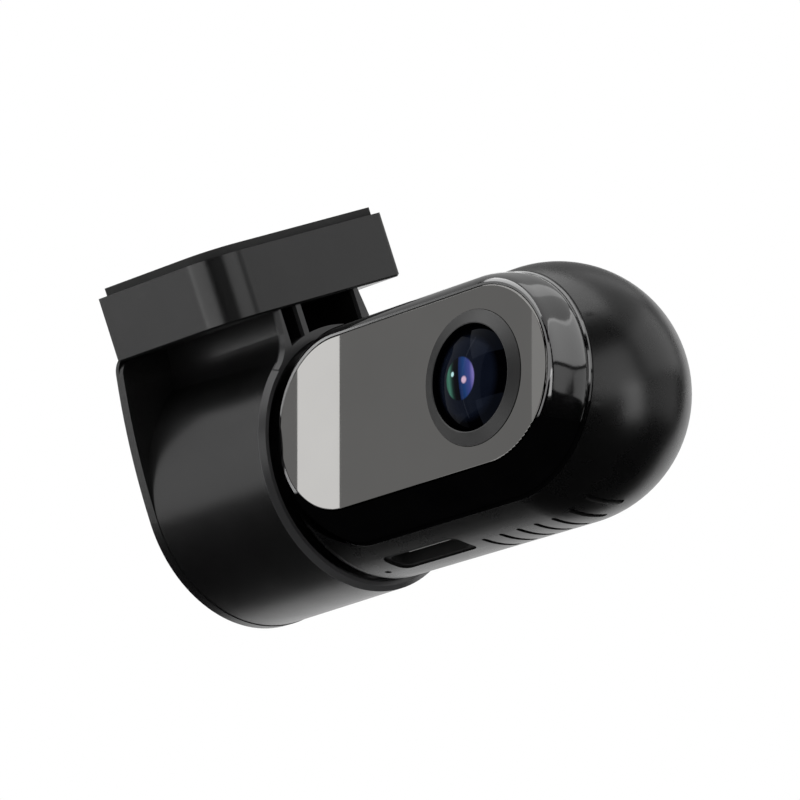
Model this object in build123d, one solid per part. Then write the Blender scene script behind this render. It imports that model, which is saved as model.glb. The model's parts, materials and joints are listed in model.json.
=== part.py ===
from build123d import *
import os
from math import atan2, cos, degrees, radians, sin, sqrt

os.makedirs("parts", exist_ok=True)

# All lengths are in millimetres and angles in degrees.
# The camera and its holder are drawn about the tilt axis, which lies along X.
# The camera's own frame has its lens looking along -Y and its top along +Z.

# Tilt of the camera at rest and placing of the origin on the adhesive face
REST_PITCH = 19.0
PITCH_UP_LIMIT = 41.0
PITCH_DOWN_LIMIT = 64.0
AXIS_TO_ADHESIVE = 34.6
ORIGIN_SHIFT_X = 12.3

# Camera shell, a capsule with one domed end
SHELL_R = 18.5
SHELL_WALL = 1.7
SHELL_START_X = 0.4
DOME_X = 40.3
SHOULDER_R = 2.6
END_WALL = 2.0

# Glossy front panel and the flat glass in it
SEAT_Y = -9.0
PANEL_GAP = 0.12
PANEL_LEFT_X = 0.6
PANEL_CORNER_R = 9.5
RIM_STEP = 0.45
RIM_T = 0.6
PANEL_FRONT_Y = -17.2
PANEL_FRONT_H = 12.85
PANEL_FRONT_RIGHT_X = 56.4
PANEL_WALL = 1.5
GLASS_H = 12.45
GLASS_LEFT_X = 1.2
GLASS_RIGHT_X = 56.0
GLASS_FRONT_Y = -17.4
GLASS_T = 0.9
TAPE_T = 0.2

# Lens
LENS_X = 41.5
RING_OUTER_R = 9.45
RING_INNER_R = 7.5
RING_CREST_Y = -18.1
ELEMENT_R = 7.2
ELEMENT_STEM_R = 6.85
ELEMENT_STEP_Y = -16.8
BARREL_R = 7.4
HOLDER_TUBE_R = 9.2

# Circuit boards
BOARD_Y = 8.0
BOARD_T = 1.2
BOARD_H = 12.2
BOARD_LEFT_X = 5.6
SENSOR_BOARD_Y = 0.0
SENSOR_BOARD_T = 1.0
BOSS_PLACES = [(9.0, 8.8), (9.0, -8.8), (45.0, 8.0), (45.0, -8.0)]

# Memory card and the recess it is reached through
CARD_X = 16.0
CARD_LEAN = 11.5
CARD_W = 11.0
CARD_L = 15.0
CARD_T = 0.8
CARD_END_R = 17.0
RECESS_L = 15.4
RECESS_W = 5.2
RECESS_FLOOR_R = 16.1

# Cooling slots under the shell
VENT_COUNT = 7
VENT_FIRST_X = 26.8
VENT_PITCH = 3.5
VENT_W = 0.9
VENT_HALF_SPAN = 3.1

# Rear of the camera
BUTTON_X = 30.0
BUTTON_R = 4.0
BUTTON_GAP = 0.3
LIGHT_X = 22.8
LIGHT_R = 0.9
SOCKET_X = 14.0
SOCKET_W = 9.0
SOCKET_H = 3.2
SPEAKER_X = 41.0
SPEAKER_R = 6.5

# Pivot between camera and holder
HUB_R = 6.0
HUB_BORE_R = 4.2
HUB_FLANGE_R = 13.0
HUB_END_X = -15.0
BEARING_CLEARANCE = 0.06
BULKHEAD_LEFT_X = -9.5
BULKHEAD_RIGHT_X = -5.5

# Holder barrel, its neck and its end cover
BARREL_FACE_R = 19.7
FACE_CHAMFER = 0.7
BARREL_END_R = 20.1
BARREL_END_X = -24.4
BARREL_WALL = 1.8
COVER_T = 1.9
COVER_R = 20.2
COVER_SIDE_R = 106.0
NECK_FRONT_Y = -8.2
NECK_BACK_Y = 8.8
POCKET_DEPTH = 13.0
RIB_Y = -4.2
RIB_T = 1.0

# Mounting plate and adhesive pad
PLATE_BOTTOM_Z = 23.7
PLATE_T = 9.7
PLATE_LEFT_X = -25.2
PLATE_RIGHT_X = 0.6
PLATE_HALF_Y = 17.8
PLATE_CORNER_R = 6.0
PLATE_SMALL_R = 0.9
PLATE_WALL = 1.8
PAD_INSET = 1.0
PAD_T = 1.2
NECK_SCREW_X = -18.5
NECK_SCREW_Y = 4.6


def along_x(radius, x_low, x_high, y=0.0, z=0.0):
    """Cylinder lying along X between two stations."""
    rod = Cylinder(radius, x_high - x_low)
    return Pos((x_low + x_high) / 2, y, z) * Rot(0, 90, 0) * rod


def along_y(radius, y_low, y_high, x=0.0, z=0.0):
    """Cylinder lying along Y between two stations."""
    rod = Cylinder(radius, y_high - y_low)
    return Pos(x, (y_low + y_high) / 2, z) * Rot(90, 0, 0) * rod


def along_z(radius, z_low, z_high, x=0.0, y=0.0):
    """Cylinder standing along Z between two heights."""
    return Pos(x, y, (z_low + z_high) / 2) * Cylinder(radius, z_high - z_low)


def block(x_low, x_high, y_low, y_high, z_low, z_high):
    """Rectangular block between three pairs of limits."""
    centre = Pos((x_low + x_high) / 2, (y_low + y_high) / 2, (z_low + z_high) / 2)
    return centre * Box(x_high - x_low, y_high - y_low, z_high - z_low)


def turned(points, axis_x):
    """Solid turned about a line along Y through axis_x; points are (radius, y)."""
    outline = Polyline(*[(axis_x + r, y) for r, y in points], close=True)
    face = make_face(outline)
    return revolve(face, Axis((axis_x, 0, 0), (0, 1, 0)))


def stadium_face(left_x, right_x, half_height, y):
    """Round-ended outline in a plane facing the front at the given depth."""
    plane = Plane(origin=(0, y, 0), x_dir=(1, 0, 0), z_dir=(0, -1, 0))
    left_c = left_x + half_height
    right_c = right_x - half_height
    top = Line((left_c, half_height), (right_c, half_height))
    right = ThreePointArc((right_c, half_height), (right_x, 0), (right_c, -half_height))
    bottom = Line((right_c, -half_height), (left_c, -half_height))
    left = ThreePointArc((left_c, -half_height), (left_x, 0), (left_c, half_height))
    return plane * make_face(top + right + bottom + left)


def stadium_block(left_x, right_x, half_height, y_low, y_high):
    """Round-ended slab between two depths."""
    face = stadium_face(left_x, right_x, half_height, y_high)
    return extrude(face, amount=y_high - y_low, dir=(0, -1, 0))


def capsule(radius, start_x):
    """Cylinder from start_x ending in a dome of the same radius."""
    return along_x(radius, start_x, DOME_X) + Pos(DOME_X, 0, 0) * Sphere(radius)


def camera_place(solid):
    """Move a camera piece from its own frame to its rest pose in the row frame."""
    return Pos(ORIGIN_SHIFT_X, 0, -AXIS_TO_ADHESIVE) * Rot(-REST_PITCH, 0, 0) * solid


def holder_place(solid):
    """Move a holder piece to the row frame."""
    return Pos(ORIGIN_SHIFT_X, 0, -AXIS_TO_ADHESIVE) * solid


def card_place(solid):
    """Lean a piece drawn straight under the axis forward to the card's direction."""
    return Rot(-CARD_LEAN, 0, 0) * solid


# ---------------------------------------------------------------- camera shell

def seat_half_height(clearance=0.0):
    """Half height of the shell where the flat panel seat cuts it."""
    return sqrt(SHELL_R**2 - SEAT_Y**2) - clearance


def screw_boss(x, z):
    """Boss that rises from the rear of the shell to the main board."""
    post = along_y(2.3, BOARD_Y + BOARD_T, SHELL_R, x, z)
    post = post & capsule(SHELL_R - 0.6, SHELL_START_X + 1)
    return post - along_y(0.82, BOARD_Y + BOARD_T - 1, BOARD_Y + BOARD_T + 4.5, x, z)


def main_shell():
    """Matte outer shell with its front open for the panel."""
    skin = along_x(SHELL_R, SHELL_START_X, DOME_X)
    end_edge = skin.edges().filter_by(GeomType.CIRCLE).sort_by(Axis.X)[0]
    skin = fillet(end_edge, SHOULDER_R)
    skin += Pos(DOME_X, 0, 0) * Sphere(SHELL_R)
    skin -= capsule(SHELL_R - SHELL_WALL, SHELL_START_X + END_WALL)
    half = seat_half_height()
    opening = rounded_left_face(PANEL_LEFT_X, DOME_X + half, half, PANEL_CORNER_R + PANEL_GAP, SEAT_Y)
    skin -= extrude(opening, amount=14, dir=(0, -1, 0))
    skin -= block(DOME_X, DOME_X + 22, -22, SEAT_Y, -22, 22)
    for x, z in BOSS_PLACES:
        skin += screw_boss(x, z)
    # Passage for the pivot hub, its three screws and the wiring
    skin -= along_x(HUB_R + 0.2, -1, 4)
    for turn in (30, 150, 270):
        skin -= Rot(turn, 0, 0) * along_x(1.15, -1, 4, 0, 9.8)
        skin -= Rot(turn, 0, 0) * along_x(2.1, -1, SHELL_START_X + 0.9, 0, 9.8)
    # Cooling slots
    for i in range(VENT_COUNT):
        x = VENT_FIRST_X + i * VENT_PITCH
        slot = block(x - VENT_W / 2, x + VENT_W / 2, -VENT_HALF_SPAN, VENT_HALF_SPAN, -20, -12)
        ends = along_z(VENT_W / 2, -20, -12, x, VENT_HALF_SPAN)
        ends += along_z(VENT_W / 2, -20, -12, x, -VENT_HALF_SPAN)
        skin -= slot + ends
    # Card recess and microphone port
    skin -= card_place(recess_block(RECESS_L, RECESS_W, -22, -12))
    skin -= along_z(0.5, -20, -12, 5.4, -2)
    # Rear openings
    skin -= along_y(BUTTON_R + BUTTON_GAP, 12, 20, BUTTON_X)
    skin -= along_y(LIGHT_R + 0.05, 12, 20, LIGHT_X)
    mouth_r = SOCKET_H / 2 + 0.35
    reach = SOCKET_W / 2 + 0.35
    skin -= stadium_block(SOCKET_X - reach, SOCKET_X + reach, mouth_r, 12, 20)
    flare = mouth_r + 0.9
    skin -= stadium_block(SOCKET_X - reach - 0.9, SOCKET_X + reach + 0.9, flare, 17.9, 20)
    for x, z in speaker_holes():
        skin -= along_y(0.55, 11, 20, x, z)
    return skin


def speaker_holes():
    """Hexagonal field of sound holes behind the speaker."""
    places = [(SPEAKER_X, 0.0)]
    for ring_number in (1, 2):
        count = 6 * ring_number
        for i in range(count):
            turn = radians(360 * i / count)
            reach = 2.1 * ring_number
            places.append((SPEAKER_X + reach * cos(turn), reach * sin(turn)))
    return places


def recess_block(length, width, z_low, z_high):
    """Rounded block under the axis, centred on the card."""
    half_l = length / 2
    half_w = width / 2
    body = block(CARD_X - half_l, CARD_X + half_l, -half_w, half_w, z_low, z_high)
    return fillet(body.edges().filter_by(Axis.Z), 1.4)


# ----------------------------------------------------------------- front panel

def panel_face(inset, left_r, y):
    """Panel outline with a domed right end and two rounded left corners."""
    half = seat_half_height(PANEL_GAP) - inset
    left = PANEL_LEFT_X + PANEL_GAP
    right = DOME_X + half
    return rounded_left_face(left, right, half, left_r, y)


def rounded_left_face(left, right, half, left_r, y):
    """Outline with a full round right end and corners of left_r at the left."""
    plane = Plane(origin=(0, y, 0), x_dir=(1, 0, 0), z_dir=(0, -1, 0))
    bend = left_r * (1 - sqrt(0.5))
    centre = right - half
    start = left + left_r
    edge = half - left_r
    outline = Line((start, half), (centre, half))
    outline += ThreePointArc((centre, half), (right, 0), (centre, -half))
    outline += Line((centre, -half), (start, -half))
    outline += ThreePointArc((start, -half), (left + bend, bend - half), (left, -edge))
    outline += Line((left, -edge), (left, edge))
    outline += ThreePointArc((left, edge), (left + bend, half - bend), (start, half))
    return plane * make_face(outline)


def panel_skin(shrink):
    """Bulging form of the panel in front of its base rim, offset inwards by shrink."""
    left = PANEL_LEFT_X + PANEL_GAP + shrink
    base_h = seat_half_height(PANEL_GAP) - RIM_STEP - shrink
    right = DOME_X + base_h
    front_h = PANEL_FRONT_H - shrink
    front_right = PANEL_FRONT_RIGHT_X - shrink
    sections = [
        rounded_left_face(left, right, base_h, PANEL_CORNER_R, SEAT_Y - 0.2),
        rounded_left_face(left, right + 0.5, base_h - 0.1, PANEL_CORNER_R + 0.6, -11.8),
        rounded_left_face(left, right + 0.5, base_h - 0.8, PANEL_CORNER_R + 1.4, -14.4),
        rounded_left_face(left + 0.05, front_right + 0.1, front_h + 0.9, PANEL_CORNER_R + 2.2, -16.4),
        rounded_left_face(left + 0.15, front_right, front_h, front_h - 0.5, PANEL_FRONT_Y),
    ]
    return loft(sections)


def front_panel():
    """Glossy panel that fills the front of the shell and frames the glass."""
    panel = panel_skin(0.0)
    rim = extrude(panel_face(0.0, PANEL_CORNER_R, SEAT_Y), amount=RIM_T, dir=(0, -1, 0))
    rim = chamfer(rim.faces().sort_by(Axis.Y)[0].edges(), 0.2)
    panel += rim
    inner_front_y = GLASS_FRONT_Y + GLASS_T + TAPE_T + PANEL_WALL
    inside = panel_skin(PANEL_WALL) & block(-5, 70, inner_front_y, 0, -30, 30)
    inside += extrude(panel_face(RIM_STEP + PANEL_WALL, PANEL_CORNER_R - 1, SEAT_Y + 1), amount=2, dir=(0, -1, 0))
    panel -= inside & block(PANEL_LEFT_X + PANEL_WALL, 70, -20, 0, -30, 30)
    glass_back_y = GLASS_FRONT_Y + GLASS_T + TAPE_T
    panel -= stadium_block(GLASS_LEFT_X - 0.08, GLASS_RIGHT_X + 0.08, GLASS_H + 0.08, -20, glass_back_y)
    panel -= along_y(RING_OUTER_R + 0.1, -20, inner_front_y + 1, LENS_X)
    # Snap hooks that pass behind the seat
    for x in (20.0, 34.0):
        for side in (1, -1):
            z = side * 13.55
            hook = block(x - 2.5, x + 2.5, SEAT_Y - 5.4, SEAT_Y + 3.2, z - 0.45, z + 0.45)
            barb = block(x - 2.5, x + 2.5, SEAT_Y + 2.2, SEAT_Y + 3.2, z - 0.45, z + 0.45)
            panel += hook + Pos(0, 0, side * 0.6) * barb
    return panel


def front_glass():
    """Flat round-ended mirror glass with the lens hole."""
    glass = stadium_block(GLASS_LEFT_X, GLASS_RIGHT_X, GLASS_H, GLASS_FRONT_Y, GLASS_FRONT_Y + GLASS_T)
    front_edges = glass.faces().sort_by(Axis.Y)[0].edges()
    glass = fillet(front_edges, 0.24)
    return glass - along_y(RING_OUTER_R + 0.06, -20, -12, LENS_X)


def glass_tape():
    """Thin adhesive frame that holds the glass to the panel."""
    low = GLASS_FRONT_Y + GLASS_T
    high = low + TAPE_T
    outer = stadium_block(GLASS_LEFT_X + 0.3, GLASS_RIGHT_X - 0.3, GLASS_H - 0.3, low, high)
    inner = stadium_block(GLASS_LEFT_X + 2.0, LENS_X - RING_OUTER_R - 1.6, GLASS_H - 2.0, low - 1, high + 1)
    hole = along_y(RING_OUTER_R + 0.4, low - 1, high + 1, LENS_X)
    return outer - inner - hole


# ------------------------------------------------------------------------ lens

def lens_ring():
    """Raised conical ring round the lens, standing through the glass."""
    points = [
        (RING_OUTER_R, -13.4),
        (RING_OUTER_R, GLASS_FRONT_Y - 0.1),
        (RING_INNER_R + 0.15, RING_CREST_Y),
        (RING_INNER_R, RING_CREST_Y + 0.05),
        (RING_INNER_R - 0.1, RING_CREST_Y + 0.3),
        (RING_INNER_R - 0.1, ELEMENT_STEP_Y + 0.1),
        (RING_INNER_R - 0.5, ELEMENT_STEP_Y + 0.3),
        (RING_INNER_R - 0.5, -15.1),
        (BARREL_R + 0.1, -15.1),
        (BARREL_R + 0.1, -13.4),
    ]
    return turned(points, LENS_X)


def front_ball(apex_y, curve):
    """Ball whose foremost point lies on the lens axis at apex_y."""
    return Pos(LENS_X, apex_y + curve, 0) * Sphere(curve)


def front_element():
    """Large bulging outer element with a deeply hollowed back."""
    disc = along_y(ELEMENT_R, -20, ELEMENT_STEP_Y, LENS_X)
    disc += along_y(ELEMENT_STEM_R, -18, -14.3, LENS_X)
    return disc & front_ball(-19.0, 16.0) - front_ball(-17.05, 5.2)


def second_element():
    """Small domed element seen through the front one."""
    disc = along_y(3.7, -17, -12.7, LENS_X)
    return disc & front_ball(-15.6, 5.0)


def rear_element():
    """Small double convex element near the sensor."""
    disc = along_y(4.3, -9.0, -5.2, LENS_X)
    back_ball = Pos(LENS_X, -5.4 - 10.0, 0) * Sphere(10.0)
    return disc & front_ball(-8.6, 8.5) & back_ball


def aperture_disc():
    """Thin blackened disc with the stop opening."""
    return along_y(4.95, -9.8, -9.4, LENS_X) - along_y(1.9, -11, -8, LENS_X)


def lens_barrel():
    """Stepped black barrel that holds the elements in line."""
    points = [
        (BARREL_R, -15.0),
        (BARREL_R, -4.0),
        (3.4, -4.0),
        (3.4, -5.0),
        (4.4, -5.2),
        (4.4, -9.3),
        (5.0, -9.3),
        (5.0, -12.0),
        (3.2, -12.0),
        (3.2, -12.6),
        (3.75, -12.6),
        (3.75, -13.6),
        (4.3, -14.2),
        (6.95, -14.2),
        (6.95, -15.0),
    ]
    return turned(points, LENS_X)


def retaining_ring():
    """Thin threaded ring that holds the stop disc in the barrel."""
    return along_y(4.95, -10.6, -9.85, LENS_X) - along_y(4.0, -12, -8, LENS_X)


def lens_holder():
    """Square-based holder that the barrel screws into."""
    base = block(LENS_X - 8.5, LENS_X + 8.5, -2.4, SENSOR_BOARD_Y, -8.5, 8.5)
    base = fillet(base.edges().filter_by(Axis.Y), 1.2)
    tube = along_y(HOLDER_TUBE_R, -10.0, -2.0, LENS_X)
    body = base + tube - along_y(BARREL_R + 0.05, -12, -3.4, LENS_X)
    body -= along_y(4.6, -4, 1, LENS_X)
    body -= block(LENS_X - 5.6, LENS_X + 5.6, -1.9, 1, -4.8, 4.8)
    for x_side, z_side in ((1, 1), (-1, -1)):
        body -= along_y(0.72, -2.0, 1, LENS_X + x_side * 7.0, z_side * 7.0)
    return body


def infrared_filter():
    """Coated plate over the sensor."""
    return block(LENS_X - 5.3, LENS_X + 5.3, -1.85, -1.45, -4.5, 4.5)


def image_sensor():
    """Sensor package on its board."""
    package = block(LENS_X - 4.2, LENS_X + 4.2, -1.0, SENSOR_BOARD_Y, -3.4, 3.4)
    return package - block(LENS_X - 3.0, LENS_X + 3.0, -2, -0.85, -2.2, 2.2)


def sensor_board():
    """Small square board behind the lens holder."""
    board = block(LENS_X - 9, LENS_X + 9, SENSOR_BOARD_Y, SENSOR_BOARD_Y + SENSOR_BOARD_T, -9, 9)
    board = fillet(board.edges().filter_by(Axis.Y), 1.0)
    for x_side, z_side in ((1, 1), (-1, -1)):
        board -= along_y(0.9, -1, 3, LENS_X + x_side * 7.0, z_side * 7.0)
    return board


def small_screw(length, head_r, shank_r, head_t):
    """Pan-head screw pointing along -Z with its head above the origin."""
    screw = along_z(head_r, 0, head_t)
    screw = fillet(screw.edges().sort_by(Axis.Z)[-1], head_t * 0.4)
    screw += along_z(shank_r, -length, 0)
    screw -= block(-head_r * 0.65, head_r * 0.65, -0.16, 0.16, head_t - 0.4, head_t + 1)
    screw -= block(-0.16, 0.16, -head_r * 0.65, head_r * 0.65, head_t - 0.4, head_t + 1)
    return screw


def sensor_screws():
    """Two screws that clamp the sensor board to the lens holder."""
    screws = []
    for side in (1, -1):
        place = Pos(LENS_X + side * 7.0, SENSOR_BOARD_Y + SENSOR_BOARD_T, side * 7.0)
        screws.append(place * Rot(-90, 0, 0) * small_screw(2.4, 1.5, 0.7, 0.9))
    return Compound(children=screws)


# ----------------------------------------------------------------- electronics

def main_board():
    """Main circuit board, round-ended to follow the dome."""
    right_x = DOME_X + BOARD_H
    board = stadium_block(-10, right_x, BOARD_H, BOARD_Y, BOARD_Y + BOARD_T)
    board &= block(BOARD_LEFT_X, 70, 0, 20, -20, 20)
    for x, z in BOSS_PLACES:
        board -= along_y(1.1, 5, 12, x, z)
    return board


def board_screws():
    """Four screws that fix the main board to the shell."""
    screws = []
    for x, z in BOSS_PLACES:
        place = Pos(x, BOARD_Y, z) * Rot(90, 0, 0)
        screws.append(place * small_screw(5.2, 1.8, 0.78, 1.0))
    return Compound(children=screws)


def processor():
    """Main processor package on the front of the board."""
    return block(17, 29, BOARD_Y - 1.2, BOARD_Y, -6, 6)


def thermal_pad():
    """Soft pad between processor and heat spreader."""
    return block(17.5, 28.5, BOARD_Y - 2.0, BOARD_Y - 1.2, -5.5, 5.5)


def heat_spreader():
    """Aluminium plate that carries heat away from the processor."""
    plate = block(13, 31.5, BOARD_Y - 3.5, BOARD_Y - 2.0, -11, 11)
    plate = fillet(plate.edges().filter_by(Axis.Y), 1.5)
    for x in (15.0, 17.5, 27.5, 30.0):
        plate -= block(x - 0.4, x + 0.4, BOARD_Y - 3.6, BOARD_Y - 2.9, -8, 8)
    return plate


def memory_chips():
    """Two memory packages beside the processor."""
    upper = block(33, 41, BOARD_Y - 1.0, BOARD_Y, 2.0, 11.0)
    lower = block(33, 41, BOARD_Y - 1.0, BOARD_Y, -11.0, -2.0)
    return Compound(children=[upper, lower])


def shield_can():
    """Pressed steel lid over the radio parts on the rear of the board."""
    can = block(34, 50, BOARD_Y + BOARD_T, BOARD_Y + BOARD_T + 0.0001 + 1.6, -3.6, 3.6)
    can = fillet(can.edges().filter_by(Axis.Y), 0.8)
    inner = block(34.2, 49.8, BOARD_Y, BOARD_Y + BOARD_T + 1.4, -3.4, 3.4)
    return can - inner


def capacitors():
    """Two storage capacitors that keep the camera alive at power-off."""
    cans = []
    for y, z in ((-8.6, 4.6), (-1.4, 9.4)):
        can = along_x(4.0, 7.0, 25.0, y, z)
        can = fillet(can.edges().filter_by(GeomType.CIRCLE), 0.5)
        can -= along_x(4.3, 23.2, 23.7, y, z) - along_x(3.7, 23.0, 24.0, y, z)
        can += along_x(0.35, 25.0, 27.0, y, z + 1.6)
        can += along_x(0.35, 25.0, 27.0, y, z - 1.6)
        cans.append(can)
    return Compound(children=cans)


def speaker():
    """Round speaker against the rear of the shell."""
    basket = along_y(SPEAKER_R, 11.2, 13.3, SPEAKER_X)
    basket += along_y(4.2, 10.85, 11.2, SPEAKER_X)
    return basket - along_y(5.4, 12.7, 14, SPEAKER_X)


def speaker_cone():
    """Thin curved diaphragm of the speaker."""
    cap = along_y(5.3, 12.75, 16, SPEAKER_X) & Pos(SPEAKER_X, 0, 0) * along_y(5.3, 12.75, 13.2)
    cap -= Pos(SPEAKER_X, 25.0, 0) * Sphere(12.05)
    return cap


def microphone():
    """Microphone capsule above its port."""
    return block(6.0, 9.8, BOARD_Y - 1.1, BOARD_Y, -4.5, -1.5)


def wifi_antenna():
    """Flexible strip antenna on the inside of the top."""
    strip = along_x(16.6, 9, 34) - along_x(16.35, 8, 35)
    return strip & block(0, 60, -5.5, 5.5, 10, 20)


def flex_cable():
    """Folded flat cable from the sensor board to the main board."""
    half_w = 4.0
    low_y = SENSOR_BOARD_Y + SENSOR_BOARD_T
    first = block(LENS_X - 7.5, LENS_X - 7.3, low_y + 0.9, BOARD_Y - 1.6, -half_w, half_w)
    foot = block(LENS_X - 7.5, LENS_X - 4.0, low_y + 0.9, low_y + 1.1, -half_w, half_w)
    head = block(LENS_X - 7.5, LENS_X - 4.0, BOARD_Y - 1.8, BOARD_Y - 1.6, -half_w, half_w)
    strip = first + foot + head
    bends = strip.edges().filter_by(Axis.Z).group_by(Axis.X)[0]
    return fillet(bends, 0.15)


def flex_connectors():
    """Board connectors at the two ends of the flat cable."""
    low_y = SENSOR_BOARD_Y + SENSOR_BOARD_T
    front = block(LENS_X - 6.5, LENS_X - 4.0, low_y, low_y + 0.9, -4.6, 4.6)
    back = block(LENS_X - 0.4, LENS_X + 2.2, BOARD_Y - 1.6, BOARD_Y, -4.6, 4.6)
    return Compound(children=[front, back])


# ----------------------------------------------------------------- memory card

def card_board():
    """Small upright board that carries the card socket."""
    return card_place(block(CARD_X - 8, CARD_X + 8, 1.15, 1.95, -15.2, 0.8))


def card_socket():
    """Steel card socket, open at its lower end."""
    outer = block(CARD_X - 7, CARD_X + 7, -1.15, 1.15, -15.0, -0.4)
    slot = block(CARD_X - 5.8, CARD_X + 5.8, -0.75, 0.75, -16, -1.2)
    return card_place(outer - slot)


def memory_card():
    """Memory card with its thicker finger lip."""
    low = -CARD_END_R
    half = CARD_W / 2
    card = block(CARD_X - half, CARD_X + half, -CARD_T / 2, CARD_T / 2, low, low + CARD_L)
    card = fillet(card.edges().filter_by(Axis.Y), 0.8)
    notch = block(CARD_X + half - 1.2, CARD_X + half + 1, -2, 2, low + CARD_L - 6.0, low + CARD_L + 1)
    card -= notch
    lip = block(CARD_X - half + 0.9, CARD_X + half - 0.9, -CARD_T / 2 - 0.2, CARD_T / 2, low, low + 1.4)
    return card_place(card + lip)


def card_surround():
    """Lining of the card recess with the slot the card passes through."""
    tub = recess_block(RECESS_L - 0.1, RECESS_W - 0.1, -SHELL_R + 0.35, -15.35)
    tub &= capsule(SHELL_R - 0.15, SHELL_START_X)
    well = recess_block(RECESS_L - 1.5, RECESS_W - 1.5, -22, -RECESS_FLOOR_R)
    slot = block(CARD_X - CARD_W / 2 - 0.35, CARD_X + CARD_W / 2 + 0.35, -0.95, 0.75, -22, -12)
    return card_place(tub - well - slot)


# ------------------------------------------------------------ rear of the camera

def button_cap():
    """Round push button with its retaining flange and stem."""
    cap = along_y(BUTTON_R, 15.9, 18.75, BUTTON_X)
    front = cap.edges().filter_by(GeomType.CIRCLE).sort_by(Axis.Y)[-1]
    cap = fillet(front, 0.5)
    cap -= Pos(BUTTON_X, 18.75 + 11.6, 0) * Sphere(12.0)
    cap += along_y(BUTTON_R + 1.2, 15.1, 15.9, BUTTON_X)
    return cap + along_y(1.5, 13.1, 15.2, BUTTON_X)


def switch_plunger():
    """Short plunger of the tact switch, under the button's stem."""
    return along_y(1.4, 11.3, 13.05, BUTTON_X)


def tact_switch():
    """Square tact switch on the rear of the main board."""
    rear = BOARD_Y + BOARD_T
    body = block(BUTTON_X - 3, BUTTON_X + 3, rear, rear + 3.1, -3, 3)
    return body - along_y(1.7, rear + 1.2, rear + 4, BUTTON_X)


def status_light():
    """Light source for the indicator, on the rear of the board."""
    rear = BOARD_Y + BOARD_T
    return block(LIGHT_X - 0.8, LIGHT_X + 0.8, rear, rear + 0.7, -0.5, 0.5)


def light_pipe():
    """Clear rod that brings the indicator light to the shell."""
    rear = BOARD_Y + BOARD_T
    rod = along_y(LIGHT_R, rear + 1.0, 18.45, LIGHT_X)
    return rod + along_y(LIGHT_R + 0.5, 15.6, 16.4, LIGHT_X)


def power_socket():
    """Oval power inlet standing on the rear of the main board."""
    rear = BOARD_Y + BOARD_T
    outer = stadium_block(SOCKET_X - SOCKET_W / 2, SOCKET_X + SOCKET_W / 2, SOCKET_H / 2, rear, 17.7)
    bore_l = SOCKET_W / 2 - 0.33
    outer -= stadium_block(SOCKET_X - bore_l, SOCKET_X + bore_l, SOCKET_H / 2 - 0.33, rear + 1.5, 19)
    return outer


def socket_tongue():
    """Contact tongue inside the power inlet."""
    rear = BOARD_Y + BOARD_T
    return block(SOCKET_X - 3.3, SOCKET_X + 3.3, rear + 1.5, 16.9, -0.35, 0.35)


# ----------------------------------------------------------------------- pivot

def pivot_hub():
    """Flanged hollow hub that the camera turns on."""
    face_x = SHELL_START_X + END_WALL
    hub = along_x(HUB_FLANGE_R, face_x, face_x + 2.0)
    hub -= block(0, 10, -20, SEAT_Y + 0.4, -20, 20)
    hub += along_x(HUB_R, HUB_END_X, face_x + 1)
    # Stop finger that meets the ends of the holder's stop rib
    finger = block(-5.0, -3.4, -1.5, 1.5, HUB_R - 0.6, 9.6)
    hub += finger
    for turn in (30, 150, 270):
        hub -= Rot(turn, 0, 0) * along_x(0.85, face_x - 1, face_x + 3, 0, 9.8)
    return hub - along_x(HUB_BORE_R, HUB_END_X - 1, face_x + 3)


def hub_screws():
    """Three screws that hold the hub's flange against the shell's end wall."""
    screws = []
    for turn in (30, 150, 270):
        place = Rot(turn, 0, 0) * Pos(SHELL_START_X + 0.9, 0, 9.8) * Rot(0, -90, 0)
        screws.append(place * small_screw(2.9, 1.7, 0.8, 0.75))
    return Compound(children=screws)


def friction_washer():
    """Flat washer between the bulkhead and the spring washer."""
    left = BULKHEAD_LEFT_X - 0.85
    right = BULKHEAD_LEFT_X - 0.05
    return along_x(10.0, left, right) - along_x(HUB_R + 0.03, left - 1, right + 1)


def spring_washer():
    """Slightly coned spring washer that keeps the tilt stiff."""
    left = BULKHEAD_LEFT_X - 1.9
    right = BULKHEAD_LEFT_X - 0.9
    cone = Solid.make_cone(6.9, 9.2, right - left, Plane(origin=(left, 0, 0), z_dir=(1, 0, 0)))
    hollow = Solid.make_cone(6.2, 8.5, right - left, Plane(origin=(left, 0, 0), z_dir=(1, 0, 0)))
    return Part() + cone - hollow


def retaining_nut():
    """Hexagonal nut that draws the hub into the holder."""
    left = BULKHEAD_LEFT_X - 4.9
    right = BULKHEAD_LEFT_X - 1.95
    face = Plane(origin=(left, 0, 0), x_dir=(0, 1, 0), z_dir=(1, 0, 0)) * RegularPolygon(9.0, 6)
    nut = extrude(face, amount=right - left, dir=(1, 0, 0))
    return nut - along_x(HUB_R + 0.02, left - 1, right + 1)


# ---------------------------------------------------------------------- holder

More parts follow.
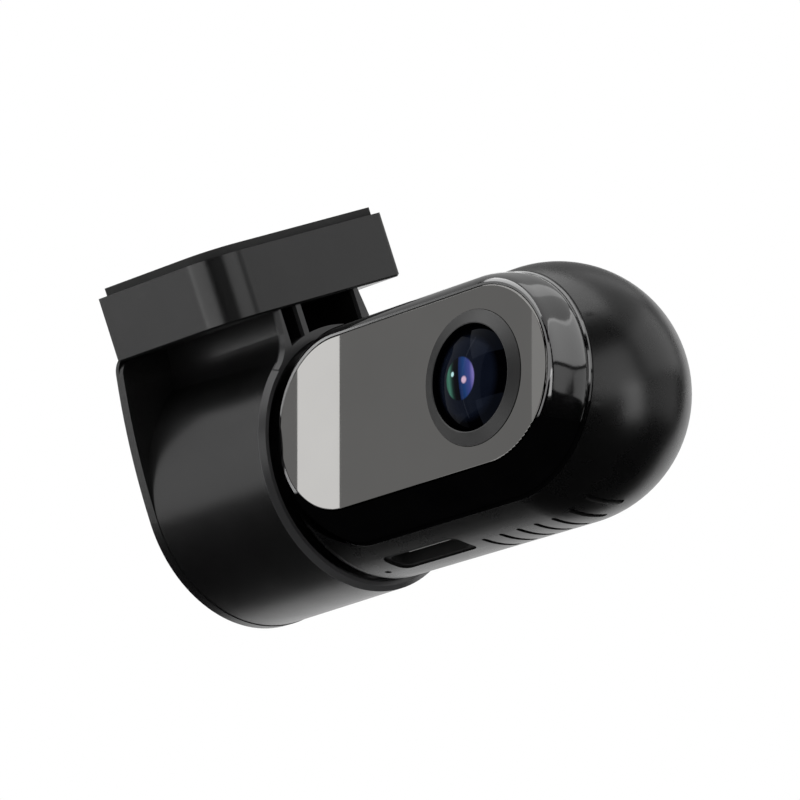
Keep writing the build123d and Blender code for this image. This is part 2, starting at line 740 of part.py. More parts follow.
def neck_block(x_low, x_high):
    """Neck that joins the barrel to the plate, with a sweeping front foot."""
    foot_y = -11.8
    foot_z = sqrt(BARREL_FACE_R**2 - foot_y**2)
    back_y = 9.8
    back_z = sqrt(BARREL_FACE_R**2 - back_y**2)
    plane = Plane(origin=(x_low, 0, 0), x_dir=(0, 1, 0), z_dir=(1, 0, 0))
    start = (NECK_FRONT_Y, PLATE_BOTTOM_Z)
    knee = (NECK_FRONT_Y - 0.4, 20.3)
    sides = Line(start, knee)
    sides += ThreePointArc(knee, (-9.5, 17.9), (foot_y, foot_z))
    sides += Line((foot_y, foot_z), (-6, 12))
    sides += Line((-6, 12), (6, 12))
    sides += Line((6, 12), (back_y, back_z))
    sides += Line((back_y, back_z), (NECK_BACK_Y, PLATE_BOTTOM_Z))
    sides += Line((NECK_BACK_Y, PLATE_BOTTOM_Z), start)
    return extrude(plane * make_face(sides), amount=x_high - x_low, dir=(1, 0, 0))


def stop_rib():
    """Part ring on the bulkhead whose two ends limit the tilt."""
    low_x = BULKHEAD_RIGHT_X - 0.5
    rib = along_x(11.0, low_x, -3.2) - along_x(7.6, low_x - 1, -2)
    half_finger = degrees(atan2(1.5, 7.6)) + 1.5
    first = -REST_PITCH + PITCH_DOWN_LIMIT + half_finger
    last = -REST_PITCH - PITCH_UP_LIMIT - half_finger
    steps = 6
    corners = [(0, 0)]
    for i in range(steps + 1):
        turn = radians(last + (first - last) * i / steps)
        corners.append((-16 * sin(turn), 16 * cos(turn)))
    plane = Plane(origin=(low_x - 1, 0, 0), x_dir=(0, 1, 0), z_dir=(1, 0, 0))
    window = extrude(plane * make_face(Polyline(*corners, close=True)), amount=6, dir=(1, 0, 0))
    return rib - window


def holder():
    """Barrel, neck and bulkhead moulded in one."""
    length = -BARREL_END_X
    barrel_plane = Plane(origin=(BARREL_END_X, 0, 0), z_dir=(1, 0, 0))
    barrel = Part() + Solid.make_cone(BARREL_END_R, BARREL_FACE_R, length, barrel_plane)
    face_rim = barrel.edges().filter_by(GeomType.CIRCLE).sort_by(Axis.X)[-1]
    barrel = chamfer(face_rim, FACE_CHAMFER)
    neck = neck_block(BARREL_END_X, 0)
    body = barrel + neck
    body = body - along_x(BARREL_FACE_R - BARREL_WALL, BARREL_END_X - 1, 1)
    rim = [e for e in body.edges().filter_by(GeomType.CIRCLE) if abs(e.center().X) < 0.01]
    inner_rim = [e for e in rim if e.radius < BARREL_FACE_R - 1]
    body = chamfer(inner_rim, 0.5)
    bulkhead = along_x(BARREL_FACE_R - BARREL_WALL + 0.3, BULKHEAD_LEFT_X, BULKHEAD_RIGHT_X)
    body += bulkhead
    body += stop_rib()
    body -= along_x(HUB_R + BEARING_CLEARANCE, -30, 2)
    # Two pockets open to the ring face, parted by a rib
    clear = along_x(BARREL_FACE_R - 0.1, -30, 2)
    front = block(-POCKET_DEPTH, 1, NECK_FRONT_Y + 0.9, RIB_Y, 14, PLATE_BOTTOM_Z + 1) - clear
    back = block(-POCKET_DEPTH, 1, RIB_Y + RIB_T, NECK_BACK_Y - 0.9, 14, PLATE_BOTTOM_Z + 1) - clear
    body = body - front - back
    for side in (1, -1):
        body -= along_z(1.05, 16.5, 30, NECK_SCREW_X, side * NECK_SCREW_Y)
    return body


def cover_slab(low_x, high_x, top_z, corner_r):
    """Slab of the end cover's outline between two stations, up to top_z."""
    plane = Plane(origin=(low_x, 0, 0), x_dir=(0, 1, 0), z_dir=(1, 0, 0))
    top_y = COVER_R - COVER_SIDE_R + sqrt(COVER_SIDE_R**2 - top_z**2)
    mid_z = top_z / 2
    mid_y = COVER_R - COVER_SIDE_R + sqrt(COVER_SIDE_R**2 - mid_z**2)
    lower = ThreePointArc((-COVER_R, 0), (0, -COVER_R), (COVER_R, 0))
    back = ThreePointArc((COVER_R, 0), (mid_y, mid_z), (top_y, top_z))
    top = Line((top_y, top_z), (-top_y, top_z))
    front = ThreePointArc((-top_y, top_z), (-mid_y, mid_z), (-COVER_R, 0))
    outline = make_face(lower + back + top + front)
    outline = fillet(outline.vertices().group_by(Axis.Y)[-1], corner_r)
    return extrude(plane * outline, amount=high_x - low_x, dir=(1, 0, 0))


def side_cover():
    """Wide closing cover on the barrel's outer end, with a locating spigot.

    Its outer layer stands a little higher, beside the end of the plate.
    """
    outer = cover_slab(BARREL_END_X - COVER_T, PLATE_LEFT_X - 0.1, PLATE_BOTTOM_Z + 1.0, 3.2)
    outer = chamfer(outer.faces().sort_by(Axis.X)[0].edges(), 0.35)
    inner = cover_slab(PLATE_LEFT_X - 0.1, BARREL_END_X, PLATE_BOTTOM_Z - 0.12, 2.2)
    spigot_r = BARREL_FACE_R - BARREL_WALL - 0.05
    spigot = along_x(spigot_r, BARREL_END_X - 0.5, BARREL_END_X + 2.5)
    spigot -= along_x(spigot_r - 1.2, BARREL_END_X - 2, BARREL_END_X + 4)
    return outer + inner + spigot


# ------------------------------------------------------- plate and adhesive pad

def plate_outline(inset, z):
    """Plan of the plate with one generous corner at the front beside the camera."""
    left = PLATE_LEFT_X + inset
    right = PLATE_RIGHT_X - inset
    half = PLATE_HALF_Y - inset
    big = PLATE_CORNER_R - inset
    small = PLATE_SMALL_R - min(inset, 0.3)
    outline = Rectangle(right - left, 2 * half)
    corners = outline.vertices()
    big_corner = corners.sort_by(lambda v: v.Y - v.X)[0]
    outline = fillet(big_corner, big)
    rest = []
    for v in outline.vertices():
        if abs(abs(v.X) - (right - left) / 2) < 1e-4 and abs(abs(v.Y) - half) < 1e-4:
            rest.append(v)
    outline = fillet(rest, small)
    return Pos((left + right) / 2, 0, z) * outline


def mount_plate():
    """Hollow plate body with stiffening ribs, open at the top."""
    floor_t = 2.2
    body = extrude(plate_outline(0.0, PLATE_BOTTOM_Z), amount=PLATE_T, dir=(0, 0, 1))
    body = chamfer(body.faces().sort_by(Axis.Z)[0].edges(), 0.3)
    cavity_h = PLATE_T - floor_t + 1
    cavity = extrude(plate_outline(PLATE_WALL, PLATE_BOTTOM_Z + floor_t), amount=cavity_h, dir=(0, 0, 1))
    ledge = extrude(plate_outline(0.9, PLATE_BOTTOM_Z + PLATE_T - 1.3), amount=3, dir=(0, 0, 1))
    body = body - cavity - ledge
    rib_top = PLATE_BOTTOM_Z + PLATE_T - 1.3
    for y in (-8.5, 8.5):
        rib = block(PLATE_LEFT_X + 1, PLATE_RIGHT_X - 1, y - 0.6, y + 0.6, PLATE_BOTTOM_Z + 1, rib_top)
        body += rib
    body += block(-12.9, -11.7, 1 - PLATE_HALF_Y, PLATE_HALF_Y - 1, PLATE_BOTTOM_Z + 1, rib_top)
    for side in (1, -1):
        body -= along_z(1.3, 20, 30, NECK_SCREW_X, side * NECK_SCREW_Y)
    return body


def plate_cover():
    """Lid let into the top of the plate; the adhesive pad sticks to it."""
    low = PLATE_BOTTOM_Z + PLATE_T - 1.3
    return extrude(plate_outline(0.98, low), amount=1.3, dir=(0, 0, 1))


def adhesive_pad():
    """Foam adhesive pad that sticks to the windscreen."""
    low = PLATE_BOTTOM_Z + PLATE_T
    return extrude(plate_outline(PAD_INSET, low), amount=PAD_T, dir=(0, 0, 1))


def neck_screws():
    """Two screws that hold the plate down on the neck."""
    screws = []
    for side in (1, -1):
        place = Pos(NECK_SCREW_X, side * NECK_SCREW_Y, PLATE_BOTTOM_Z + 2.2)
        screws.append(place * small_screw(9.0, 2.3, 1.0, 1.6))
    return Compound(children=screws)


CAMERA_PIECES = {
    "main_shell": main_shell,
    "front_panel": front_panel,
    "front_glass": front_glass,
    "glass_tape": glass_tape,
    "lens_ring": lens_ring,
    "front_element": front_element,
    "second_element": second_element,
    "aperture_disc": aperture_disc,
    "rear_element": rear_element,
    "retaining_ring": retaining_ring,
    "lens_barrel": lens_barrel,
    "lens_holder": lens_holder,
    "infrared_filter": infrared_filter,
    "image_sensor": image_sensor,
    "sensor_board": sensor_board,
    "sensor_screws": sensor_screws,
    "main_board": main_board,
    "board_screws": board_screws,
    "processor": processor,
    "thermal_pad": thermal_pad,
    "heat_spreader": heat_spreader,
    "memory_chips": memory_chips,
    "shield_can": shield_can,
    "capacitors": capacitors,
    "speaker": speaker,
    "speaker_cone": speaker_cone,
    "microphone": microphone,
    "wifi_antenna": wifi_antenna,
    "flex_cable": flex_cable,
    "flex_connectors": flex_connectors,
    "card_board": card_board,
    "card_socket": card_socket,
    "memory_card": memory_card,
    "card_surround": card_surround,
    "button_cap": button_cap,
    "switch_plunger": switch_plunger,
    "tact_switch": tact_switch,
    "status_light": status_light,
    "light_pipe": light_pipe,
    "power_socket": power_socket,
    "socket_tongue": socket_tongue,
    "pivot_hub": pivot_hub,
    "hub_screws": hub_screws,
    "friction_washer": friction_washer,
    "spring_washer": spring_washer,
    "retaining_nut": retaining_nut,
}

HOLDER_PIECES = {
    "holder": holder,
    "side_cover": side_cover,
    "mount_plate": mount_plate,
    "plate_cover": plate_cover,
    "adhesive_pad": adhesive_pad,
    "neck_screws": neck_screws,
}

for name, make in CAMERA_PIECES.items():
    export_step(camera_place(make()), f"parts/{name}.step")

for name, make in HOLDER_PIECES.items():
    export_step(holder_place(make()), f"parts/{name}.step")
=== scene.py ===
import json
from math import cos, pi, radians, sin

import bmesh
import bpy
from mathutils import Matrix, Vector


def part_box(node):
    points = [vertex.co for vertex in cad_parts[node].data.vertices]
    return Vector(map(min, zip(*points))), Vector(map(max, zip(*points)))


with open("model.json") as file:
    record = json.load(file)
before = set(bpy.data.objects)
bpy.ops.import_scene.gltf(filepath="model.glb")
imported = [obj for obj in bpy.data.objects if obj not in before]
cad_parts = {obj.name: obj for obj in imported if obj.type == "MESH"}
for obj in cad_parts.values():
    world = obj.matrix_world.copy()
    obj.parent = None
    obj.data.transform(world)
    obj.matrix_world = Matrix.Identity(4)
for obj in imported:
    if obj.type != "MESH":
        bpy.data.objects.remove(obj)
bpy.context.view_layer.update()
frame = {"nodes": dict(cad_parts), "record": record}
nodes = frame["nodes"]
joints = {j["name"]: j for j in frame["record"]["behaviour"]["joints"]}

# Camera: level, on the lens side between the front and the domed end, with the
# picture turned. Angles are in degrees, CAM_LENS and CAM_SENSOR in millimetres.
CAM_AZIMUTH = 45.1
CAM_ELEVATION = -0.6
CAM_ROLL = -17.6
CAM_DISTANCE = 0.80
CAM_LENS = 250.0
CAM_SENSOR = 36.0
AIM_RIGHT = 0.0050
AIM_UP = 0.0081

# Floor, and the world's brightness away from the camera's own rays
FLOOR_R = 1.3
FLOOR_Z = -0.30
WORLD_DIM = (0.004, 0.004, 0.004, 1.0)
WHITE = (1.0, 1.0, 1.0, 1.0)

# Light cards: usual distance from the pivot, height of those the glass mirrors
CARD_DISTANCE = 0.9
MIRROR_HEIGHT = 0.60

PIVOT = Vector(joints["camera_tilt"]["pos_m"])

# At rest the lens looks the way the rear button is pushed
GLASS_NORMAL = Vector(joints["button_press"]["axis"]).normalized()


def box_centre(name):
    low, high = (Vector(corner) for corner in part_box(name))
    return (low + high) / 2


GLASS_CENTRE = box_centre("front_glass")
LENS_CENTRE = box_centre("lens_ring")
LENS_TOP = Vector((1, 0, 0)).cross(-GLASS_NORMAL)

# Painted reflections in the lens: the disc of painted coating reflections, the navy painted sheen
# round it and its soft edge into the black rim
REFLECTION_DISC_R = 0.0030
REFLECTION_DISC_X = -0.0012
NAVY_SHEEN_X = -0.0005
NAVY_SHEEN_EDGE = (0.0052, 0.0062)
# Painted glints in the lens, painted highlights: place along X, height, radius and colour
PAINTED_GLINTS = [
    (-0.0026, 0.0009, 0.00042, (0.5, 0.8, 0.8)),
    (-0.0002, -0.0004, 0.0006, (0.65, 0.45, 0.6)),
]

# The lens ring: its crest, and the turned grooves in radians per metre
RING_CREST_R = 0.0075
TURNING = 42000.0

# Below this height over the lens axis the front panel has no clear lacquer
LACQUER_EDGE = -0.0080

# The holder's chamfered ring face, where its plastic is painted paler as a painted highlight
RING_FACE_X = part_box("holder")[1][0]
RING_FACE_DEPTH = 0.0008
RING_FACE_PAINTED_HIGHLIGHT = (0.035, 0.035, 0.036)

# Colours that more than one material has
INK = (0.0008, 0.0008, 0.0009)
HOLDER_DARK = (0.005, 0.005, 0.0051)
HOLDER_LIGHT = (0.0075, 0.0075, 0.0076)


# ------------------------------------------------------------------ materials

def new_material(name):
    """New material with its node tree and its main shader."""
    material = bpy.data.materials.new(name)
    material.use_nodes = True
    tree = material.node_tree
    shader = tree.nodes["Principled BSDF"]
    return material, tree, shader


def noise(tree, coords, scale, detail=3.0, roughness=0.5):
    """Cloudy noise, mostly between 0.3 and 0.7."""
    made = tree.nodes.new("ShaderNodeTexNoise")
    made.inputs["Scale"].default_value = scale
    made.inputs["Detail"].default_value = detail
    made.inputs["Roughness"].default_value = roughness
    tree.links.new(coords, made.inputs["Vector"])
    return made.outputs["Fac"]


def mapped(tree, value, low, high, in_low=0.3, in_high=0.7):
    """Value brought from its input range to low and high, clamped."""
    made = tree.nodes.new("ShaderNodeMapRange")
    made.inputs["From Min"].default_value = in_low
    made.inputs["From Max"].default_value = in_high
    made.inputs["To Min"].default_value = low
    made.inputs["To Max"].default_value = high
    tree.links.new(value, made.inputs["Value"])
    return made.outputs["Result"]


def ramp(tree, value, stops):
    """Colour ramp through stops of place and colour."""
    made = tree.nodes.new("ShaderNodeValToRGB")
    elements = made.color_ramp.elements
    while len(elements) < len(stops):
        elements.new(0.5)
    for element, (place, colour) in zip(elements, stops):
        element.position = place
        element.color = (*colour, 1.0)
    tree.links.new(value, made.inputs["Fac"])
    return made.outputs["Color"]


def mix_colour(tree, factor, first, second):
    """First colour where the factor is 0, second where it is 1."""
    made = tree.nodes.new("ShaderNodeMix")
    made.data_type = "RGBA"
    tree.links.new(factor, made.inputs["Factor"])
    for socket, colour in ((made.inputs["A"], first), (made.inputs["B"], second)):
        if isinstance(colour, tuple):
            socket.default_value = (*colour, 1.0)
        else:
            tree.links.new(colour, socket)
    return made.outputs["Result"]


def cloudy(tree, value, dark, light):
    """Two close shades of a colour, mixed by a noise."""
    return ramp(tree, value, [(0.3, dark), (0.7, light)])


def combine(tree, operation, first, second=0.0):
    """Sum, product or other step on one or two values."""
    made = tree.nodes.new("ShaderNodeMath")
    made.operation = operation
    for socket, value in zip(made.inputs, (first, second)):
        if isinstance(value, float):
            socket.default_value = value
        else:
            tree.links.new(value, socket)
    return made.outputs[0]


def vector_step(tree, operation, first, second=None):
    """Step on one or two vectors; a length or dot product gives a value."""
    made = tree.nodes.new("ShaderNodeVectorMath")
    made.operation = operation
    tree.links.new(first, made.inputs[0])
    if isinstance(second, Vector):
        made.inputs[1].default_value = second
    elif second is not None:
        tree.links.new(second, made.inputs[1])
    return made.outputs["Value" if operation in ("LENGTH", "DOT_PRODUCT") else "Vector"]


def bump(tree, shader, height, strength, distance):
    """Fine relief, its depth given in metres."""
    made = tree.nodes.new("ShaderNodeBump")
    made.inputs["Strength"].default_value = strength
    made.inputs["Distance"].default_value = distance
    tree.links.new(height, made.inputs["Height"])
    tree.links.new(made.outputs["Normal"], shader.inputs["Normal"])


def object_coords(tree):
    """The piece's own coordinates, which ride with it when it moves."""
    return tree.nodes.new("ShaderNodeTexCoord").outputs["Object"]


def lens_offset(tree, coords):
    """Offset of the shading point from the lens centre, in metres."""
    return vector_step(tree, "SUBTRACT", coords, LENS_CENTRE)


def lens_radius(tree, coords):
    """Distance of the shading point from the lens axis, in metres."""
    offset = lens_offset(tree, coords)
    beside = vector_step(tree, "CROSS_PRODUCT", offset, GLASS_NORMAL)
    return vector_step(tree, "LENGTH", beside)


def disc_radius(tree, across, upright, centre):
    """Distance from a point set off sideways from the lens axis."""
    beside = combine(tree, "SUBTRACT", across, centre)
    across_square = combine(tree, "POWER", beside, 2.0)
    upright_square = combine(tree, "POWER", upright, 2.0)
    return combine(tree, "SQRT", combine(tree, "ADD", across_square, upright_square))


def moulded_plastic(name, dark, light, rough, grain=5200.0, depth=0.00002, end=None):
    """Moulded plastic with a fine spark-eroded grain and slight unevenness.

    Beyond the station given by end, along X, the surface is painted paler, a painted highlight.
    """
    material, tree, shader = new_material(name)
    coords = object_coords(tree)
    cloud = noise(tree, coords, 90.0, 4.0)
    colour = cloudy(tree, cloud, dark, light)
    if end is not None:
        # Painted highlight: paler colour beyond the station given by end along X
        along = vector_step(tree, "DOT_PRODUCT", coords, Vector((1, 0, 0)))
        painted_highlight_mask = mapped(tree, along, 0.0, 1.0, end - 0.00005, end + 0.00005)
        colour = mix_colour(tree, painted_highlight_mask, colour, RING_FACE_PAINTED_HIGHLIGHT)
    tree.links.new(colour, shader.inputs["Base Color"])
    fine = noise(tree, coords, grain, 2.0, 0.6)
    wide = noise(tree, coords, 260.0, 3.0)
    both = combine(tree, "ADD", combine(tree, "MULTIPLY", fine, 0.4), wide)
    uneven = mapped(tree, both, rough - 0.025, rough + 0.025, 0.4, 1.0)
    tree.links.new(uneven, shader.inputs["Roughness"])
    bump(tree, shader, fine, 0.35, depth)
    return material


def metal(name, dark, light, rough):
    """Rolled or plated metal with faint drawn lines."""
    material, tree, shader = new_material(name)
    coords = object_coords(tree)
    stretched = tree.nodes.new("ShaderNodeMapping")
    stretched.inputs["Scale"].default_value = (1.0, 1.0, 14.0)
    tree.links.new(coords, stretched.inputs["Vector"])
    lines = noise(tree, stretched.outputs["Vector"], 900.0, 5.0)
    tree.links.new(cloudy(tree, lines, dark, light), shader.inputs["Base Color"])
    shader.inputs["Metallic"].default_value = 1.0
    tree.links.new(mapped(tree, lines, rough - 0.06, rough + 0.06), shader.inputs["Roughness"])
    bump(tree, shader, lines, 0.15, 0.00002)
    return material


def piano_black():
    """Polished black moulding, with a clear lacquer down to its lower edge."""
    material, tree, shader = new_material("piano_black")
    coords = object_coords(tree)
    cloud = noise(tree, coords, 140.0, 5.0)
    black = cloudy(tree, cloud, INK, (0.0014, 0.0014, 0.0015))
    tree.links.new(black, shader.inputs["Base Color"])
    tree.links.new(mapped(tree, cloud, 0.09, 0.11), shader.inputs["Roughness"])
    upright = vector_step(tree, "DOT_PRODUCT", lens_offset(tree, coords), LENS_TOP)
    lacquered = mapped(tree, upright, 0.0, 1.0, LACQUER_EDGE - 0.0002, LACQUER_EDGE + 0.0002)
    tree.links.new(lacquered, shader.inputs["Specular IOR Level"])
    tree.links.new(lacquered, shader.inputs["Coat Weight"])
    shader.inputs["Coat Roughness"].default_value = 0.09
    return material


def mirror_glass():
    """Half-silvered dark glass, slightly warm."""
    material, tree, shader = new_material("mirror_glass")
    cloud = noise(tree, object_coords(tree), 60.0, 3.0)
    silver = cloudy(tree, cloud, (0.134, 0.132, 0.1285), (0.142, 0.140, 0.1362))
    tree.links.new(silver, shader.inputs["Base Color"])
    tree.links.new(mapped(tree, cloud, 0.004, 0.012), shader.inputs["Roughness"])
    shader.inputs["Metallic"].default_value = 1.0
    return material


def ring_finish():
    """Satin anodised ring, blackened inside the crest, with fine turned grooves."""
    material, tree, shader = new_material("ring_finish")
    coords = object_coords(tree)
    radius = lens_radius(tree, coords)
    cloud = noise(tree, coords, 300.0, 4.0)
    satin = cloudy(tree, cloud, (0.010, 0.010, 0.010), (0.013, 0.013, 0.013))
    outside = mapped(tree, radius, 0.0, 1.0, RING_CREST_R - 0.00003, RING_CREST_R + 0.00003)
    tree.links.new(mix_colour(tree, outside, INK, satin), shader.inputs["Base Color"])
    tree.links.new(mapped(tree, outside, 0.75, 0.40, 0.0, 1.0), shader.inputs["Roughness"])
    tree.links.new(mapped(tree, outside, 0.0, 0.5, 0.0, 1.0), shader.inputs["Specular IOR Level"])
    turning = combine(tree, "SINE", combine(tree, "MULTIPLY", radius, TURNING))
    bump(tree, shader, turning, 0.12, 0.00001)
    return material


def painted_reflection_lens():
    """Outer lens element: black glass painted with a navy sheen (a painted reflection), its
    centre painted with green, blue and violet coating reflections and with painted glints.
    """
    material, tree, shader = new_material("painted_reflection_lens")
    coords = object_coords(tree)
    offset = lens_offset(tree, coords)
    across = vector_step(tree, "DOT_PRODUCT", offset, Vector((1, 0, 0)))
    upright = vector_step(tree, "DOT_PRODUCT", offset, LENS_TOP)
    cloud = noise(tree, coords, 240.0, 3.0)
    # Navy painted reflection over the glass, faded at its soft edge to a black rim
    painted_navy_sheen = cloudy(tree, cloud, (0.0035, 0.005, 0.0105), (0.0045, 0.0065, 0.013))
    edge = mapped(tree, disc_radius(tree, across, upright, NAVY_SHEEN_X), 0.0, 1.0, *NAVY_SHEEN_EDGE)
    sheen_and_black_rim = mix_colour(tree, edge, painted_navy_sheen, (0.0005, 0.0005, 0.0008))
    # Painted coating reflections across X: green, a black bar, then blue and violet
    reflection_across = mapped(tree, across, 0.0, 1.0, REFLECTION_DISC_X - REFLECTION_DISC_R, REFLECTION_DISC_X + REFLECTION_DISC_R)
    painted_reflection_tints = ramp(tree, reflection_across, [
        (0.00, (0.03, 0.12, 0.08)),
        (0.12, (0.05, 0.17, 0.12)),
        (0.24, (0.006, 0.02, 0.016)),
        (0.32, (0.001, 0.001, 0.002)),
        (0.47, (0.001, 0.001, 0.002)),
        (0.51, (0.008, 0.02, 0.085)),
        (0.66, (0.012, 0.045, 0.16)),
        (0.86, (0.05, 0.06, 0.24)),
        (0.96, (0.20, 0.17, 0.46)),
    ])
    reflection_radius = disc_radius(tree, across, upright, REFLECTION_DISC_X)
    in_reflection_disc = mapped(tree, reflection_radius, 1.0, 0.0, REFLECTION_DISC_R - 0.0001, REFLECTION_DISC_R + 0.0001)
    colour = mix_colour(tree, in_reflection_disc, sheen_and_black_rim, painted_reflection_tints)
    # Painted glints: small pale highlight spots painted over the lens colour
    for place, height, size, tint in PAINTED_GLINTS:
        raised = combine(tree, "SUBTRACT", upright, height)
        glint_radius = disc_radius(tree, across, raised, place)
        glint_spot = mapped(tree, glint_radius, 1.0, 0.0, size * 0.6, size)
        colour = mix_colour(tree, glint_spot, colour, tint)
    tree.links.new(colour, shader.inputs["Base Color"])
    tree.links.new(mapped(tree, cloud, 0.02, 0.04), shader.inputs["Roughness"])
    shader.inputs["Specular IOR Level"].default_value = 0.03
    shader.inputs["Specular Tint"].default_value = (0.45, 0.6, 1.0, 1.0)
    return material


def circuit_board():
    """Dark green solder mask with copper tracks showing faintly under it."""
    material, tree, shader = new_material("circuit_board")
    coords = object_coords(tree)
    cells = tree.nodes.new("ShaderNodeTexVoronoi")
    cells.distance = "CHEBYCHEV"
    cells.inputs["Scale"].default_value = 700.0
    tree.links.new(coords, cells.inputs["Vector"])
    tracks = mapped(tree, cells.outputs["Distance"], 0.0, 1.0, 0.25, 0.3)
    green = mix_colour(tree, tracks, (0.004, 0.045, 0.018), (0.008, 0.075, 0.03))
    tree.links.new(green, shader.inputs["Base Color"])
    uneven = mapped(tree, noise(tree, coords, 400.0), 0.25, 0.38)
    tree.links.new(uneven, shader.inputs["Roughness"])
    bump(tree, shader, tracks, 0.3, 0.00003)
    return material


def clear_plastic(name, tint):
    """Clear moulding with slight haze."""
    material, tree, shader = new_material(name)
    haze = noise(tree, object_coords(tree), 500.0)
    light = tuple(min(1.0, part * 1.06) for part in tint)
    tree.links.new(cloudy(tree, haze, tint, light), shader.inputs["Base Color"])
    tree.links.new(mapped(tree, haze, 0.06, 0.16), shader.inputs["Roughness"])
    shader.inputs["Transmission Weight"].default_value = 0.85
    shader.inputs["IOR"].default_value = 1.49
    return material


shell_plastic = moulded_plastic(
    "shell_plastic", (0.002, 0.002, 0.0021), (0.0035, 0.0035, 0.0036), 0.28
)
holder_plastic = moulded_plastic("holder_plastic", HOLDER_DARK, HOLDER_LIGHT, 0.25)
# The holder's ring face is painted paler beyond its chamfer, a painted highlight
barrel_plastic = moulded_plastic(
    "barrel_plastic", HOLDER_DARK, HOLDER_LIGHT, 0.25, end=RING_FACE_X - RING_FACE_DEPTH
)
matt_black = moulded_plastic("matt_black", (0.002, 0.002, 0.002), (0.004, 0.004, 0.004), 0.7)
chip_epoxy = moulded_plastic(
    "chip_epoxy", (0.012, 0.012, 0.013), (0.022, 0.022, 0.023), 0.55, grain=3000.0
)
card_plastic = moulded_plastic("card_plastic", (0.22, 0.22, 0.22), (0.28, 0.28, 0.28), 0.35)
ivory = moulded_plastic("ivory", (0.62, 0.58, 0.47), (0.70, 0.66, 0.55), 0.45)
acetal = moulded_plastic("acetal", (0.66, 0.66, 0.64), (0.74, 0.74, 0.72), 0.38)
ceramic = moulded_plastic("ceramic", (0.36, 0.24, 0.14), (0.46, 0.32, 0.2), 0.5)
silicone = moulded_plastic("silicone", (0.30, 0.36, 0.42), (0.36, 0.42, 0.48), 0.7)
polyimide = moulded_plastic(
    "polyimide", (0.42, 0.17, 0.03), (0.52, 0.23, 0.05), 0.3, grain=900.0
)
foam = moulded_plastic(
    "foam", (0.012, 0.012, 0.012), (0.02, 0.02, 0.02), 0.8, grain=2400.0, depth=0.0001
)
steel = metal("steel", (0.42, 0.42, 0.43), (0.55, 0.55, 0.56), 0.3)
black_metal = metal("black_metal", (0.02, 0.02, 0.021), (0.03, 0.03, 0.032), 0.4)
aluminium = metal("aluminium", (0.62, 0.62, 0.63), (0.72, 0.72, 0.73), 0.35)
copper = metal("copper", (0.72, 0.36, 0.22), (0.82, 0.45, 0.3), 0.28)
brass = metal("brass", (0.62, 0.45, 0.2), (0.72, 0.54, 0.27), 0.28)
green_board = circuit_board()
inner_glass = clear_plastic("inner_glass", (0.55, 0.7, 0.9))
red_filter = clear_plastic("red_filter", (0.75, 0.2, 0.3))
light_guide = clear_plastic("light_guide", (0.85, 0.88, 0.9))
sensor_face = metal("sensor_face", (0.05, 0.03, 0.09), (0.08, 0.07, 0.14), 0.15)

FINISH = {
    shell_plastic: ["main_shell", "button_cap"],
    holder_plastic: ["side_cover", "mount_plate", "plate_cover"],
    barrel_plastic: ["holder"],
    piano_black(): ["front_panel"],
    mirror_glass(): ["front_glass"],
    ring_finish(): ["lens_ring"],
    painted_reflection_lens(): ["front_element"],
    inner_glass: ["second_element", "rear_element"],
    red_filter: ["infrared_filter"],
    light_guide: ["light_pipe", "status_light"],
    sensor_face: ["image_sensor"],
    matt_black: ["card_surround", "aperture_disc", "lens_holder", "speaker_cone", "pivot_hub"],
    black_metal: ["lens_barrel", "retaining_ring"],
    foam: ["adhesive_pad", "glass_tape"],
    green_board: ["main_board", "sensor_board", "card_board"],
    chip_epoxy: ["processor", "memory_chips", "socket_tongue"],
    card_plastic: ["memory_card"],
    ceramic: ["capacitors"],
    silicone: ["thermal_pad"],
    polyimide: ["flex_cable"],
    ivory: ["flex_connectors", "switch_plunger"],
    acetal: ["friction_washer"],
    aluminium: ["heat_spreader"],
    copper: ["wifi_antenna"],
    brass: ["microphone", "retaining_nut"],
    steel: [
        "card_socket", "shield_can", "speaker", "tact_switch", "power_socket", "spring_washer",
        "sensor_screws", "board_screws", "hub_screws", "neck_screws",
    ],
}
for material, names in FINISH.items():
    for name in names:
        nodes[name].data.materials.clear()
        nodes[name].data.materials.append(material)


# ------------------------------------------------------------- camera and set

def view_axes(azimuth, elevation, roll=0.0):
    """Right, up and back vectors of a camera that looks at the object."""
    az, el, ro = radians(azimuth), radians(elevation), radians(roll)
    back = Vector((sin(az) * cos(el), -cos(az) * cos(el), sin(el)))
    level = Vector((cos(az), sin(az), 0.0))
    above = back.cross(level)
    right = level * cos(ro) + above * sin(ro)
    up = above * cos(ro) - level * sin(ro)
    return right, up, back


def add_camera():
    """Camera aimed beside the pivot, its distance measured to the pivot."""
    right, up, back = view_axes(CAM_AZIMUTH, CAM_ELEVATION, CAM_ROLL)
    data = bpy.data.cameras.new("camera")
    data.lens = CAM_LENS
    data.sensor_width = CAM_SENSOR
    data.clip_start = 0.01
    data.clip_end = 20.0
    camera = bpy.data.objects.new("camera", data)
    bpy.context.scene.collection.objects.link(camera)
    place = PIVOT + back * CAM_DISTANCE + right * AIM_RIGHT + up * AIM_UP
    turn = Matrix((right, up, back)).transposed()
    camera.matrix_world = Matrix.Translation(place) @ turn.to_4x4()
    bpy.context.scene.camera = camera


def add_card(name, centre, across, facing, width, height, radiance):
    """Evenly lit rectangle of a given radiance; facing points from it to the object."""
    facing = facing.normalized()
    across = (across - facing * across.dot(facing)).normalized()
    back = -facing
    above = back.cross(across)
    data = bpy.data.lights.new(name, "AREA")
    data.shape = "RECTANGLE"
    data.size = width
    data.size_y = height
    data.energy = radiance * pi * width * height
    light = bpy.data.objects.new(name, data)
    bpy.context.scene.collection.objects.link(light)
    turn = Matrix((across, above, back)).transposed()
    light.matrix_world = Matrix.Translation(centre) @ turn.to_4x4()
    light.visible_camera = False


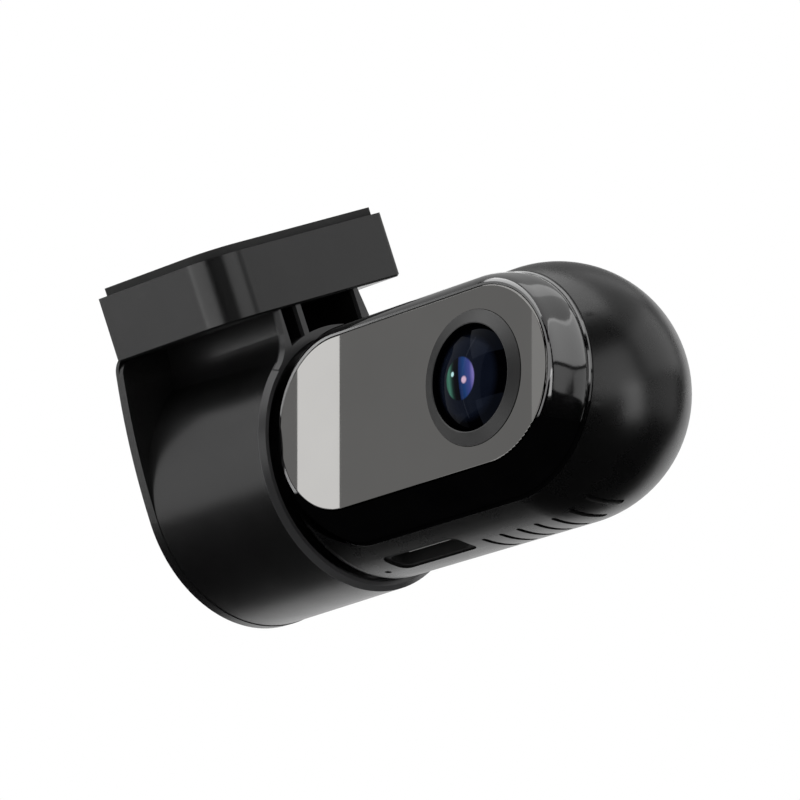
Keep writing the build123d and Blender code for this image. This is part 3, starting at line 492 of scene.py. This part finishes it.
def round_card(name, azimuth, elevation, width, height, radiance, distance=CARD_DISTANCE):
    """Card placed round the object by direction, facing the pivot."""
    right, _, back = view_axes(azimuth, elevation)
    add_card(name, PIVOT + back * distance, right, -back, width, height, radiance)


def mirror_card(name, left_edge, right_edge, depth, radiance):
    """Card seen mirrored in the flat glass.

    Its edges are measured from the glass centre along the picture's right direction,
    and its depth as if it stood behind the glass.
    """
    right, _, back = view_axes(CAM_AZIMUTH, CAM_ELEVATION, CAM_ROLL)
    normal = GLASS_NORMAL
    ghost = GLASS_CENTRE + right * ((left_edge + right_edge) / 2) - back * depth
    centre = ghost - normal * (2 * (ghost - GLASS_CENTRE).dot(normal))
    across = right - normal * (2 * right.dot(normal))
    facing = back - normal * (2 * back.dot(normal))
    add_card(name, centre, across, facing, right_edge - left_edge, MIRROR_HEIGHT, radiance)


def add_floor():
    """Pale paper disc below the object, left out of what the object mirrors."""
    data = bpy.data.meshes.new("floor")
    build = bmesh.new()
    bmesh.ops.create_circle(build, cap_ends=True, segments=96, radius=FLOOR_R)
    build.to_mesh(data)
    build.free()
    floor = bpy.data.objects.new("floor", data)
    bpy.context.scene.collection.objects.link(floor)
    floor.location = (0.0, 0.0, FLOOR_Z)
    material, tree, shader = new_material("floor_paper")
    grain = noise(tree, object_coords(tree), 40.0, 4.0)
    paper = cloudy(tree, grain, (0.80, 0.80, 0.80), (0.84, 0.84, 0.84))
    tree.links.new(paper, shader.inputs["Base Color"])
    shader.inputs["Roughness"].default_value = 0.9
    data.materials.append(material)
    floor.visible_glossy = False
    floor.visible_shadow = False


def add_world():
    """White behind the object, and nearly dark for everything that lights it."""
    world = bpy.data.worlds.new("studio")
    bpy.context.scene.world = world
    world.use_nodes = True
    tree = world.node_tree
    shader = tree.nodes["Background"]
    path = tree.nodes.new("ShaderNodeLightPath")
    mix = tree.nodes.new("ShaderNodeMix")
    mix.data_type = "RGBA"
    tree.links.new(path.outputs["Is Camera Ray"], mix.inputs["Factor"])
    mix.inputs["A"].default_value = WORLD_DIM
    mix.inputs["B"].default_value = WHITE
    tree.links.new(mix.outputs["Result"], shader.inputs["Color"])


add_camera()
add_floor()
add_world()

# Reflected in the flat glass: an even grey field, a paler edge and a narrow bright strip
# (left edge, right edge, depth, radiance)
mirror_card("glass_field", -0.40, 0.25, 0.60, 0.76)
mirror_card("glass_edge", 0.0310, 0.25, 0.58, 0.53)
mirror_card("glass_strip", -0.0253, -0.0153, 0.55, 3.1)
# The cards below give (azimuth, elevation, width, height, radiance)
# Level boxes in front: the barrel's sheen and the bands round the plate's corner
round_card("front_box", -6, 0, 0.90, 0.34, 1.9)
round_card("front_low", -60, -4, 0.25, 0.22, 0.3)
# Behind, above: mirrored at a slant along the top of the shell
round_card("backdrop_high", 222, 32, 1.3, 0.62, 0.3)
# Right: mirrored in the right bevel and on the dome
round_card("right_box", 151, 9, 0.84, 0.46, 0.95)
round_card("right_high", 160, 36, 1.0, 0.46, 0.45)
round_card("right_under", 146, -18, 0.60, 0.32, 0.5)
round_card("right_low", 94, 3, 0.74, 0.56, 1.3)
round_card("side_box", 109, -20, 0.24, 0.34, 2.6, distance=0.8)
# Beside the camera: mirrored in the rims that face it
round_card("camera_side", 50, 22, 0.26, 0.34, 1.6)
# Overhead, for the floor and the upper faces
round_card("ceiling", 0, 89, 1.8, 1.8, 2.0, distance=1.1)
# White background as the object mirrors it
round_card("backdrop", 222, -16, 1.4, 1.0, 0.9)

bpy.context.scene.view_settings.view_transform = "Standard"
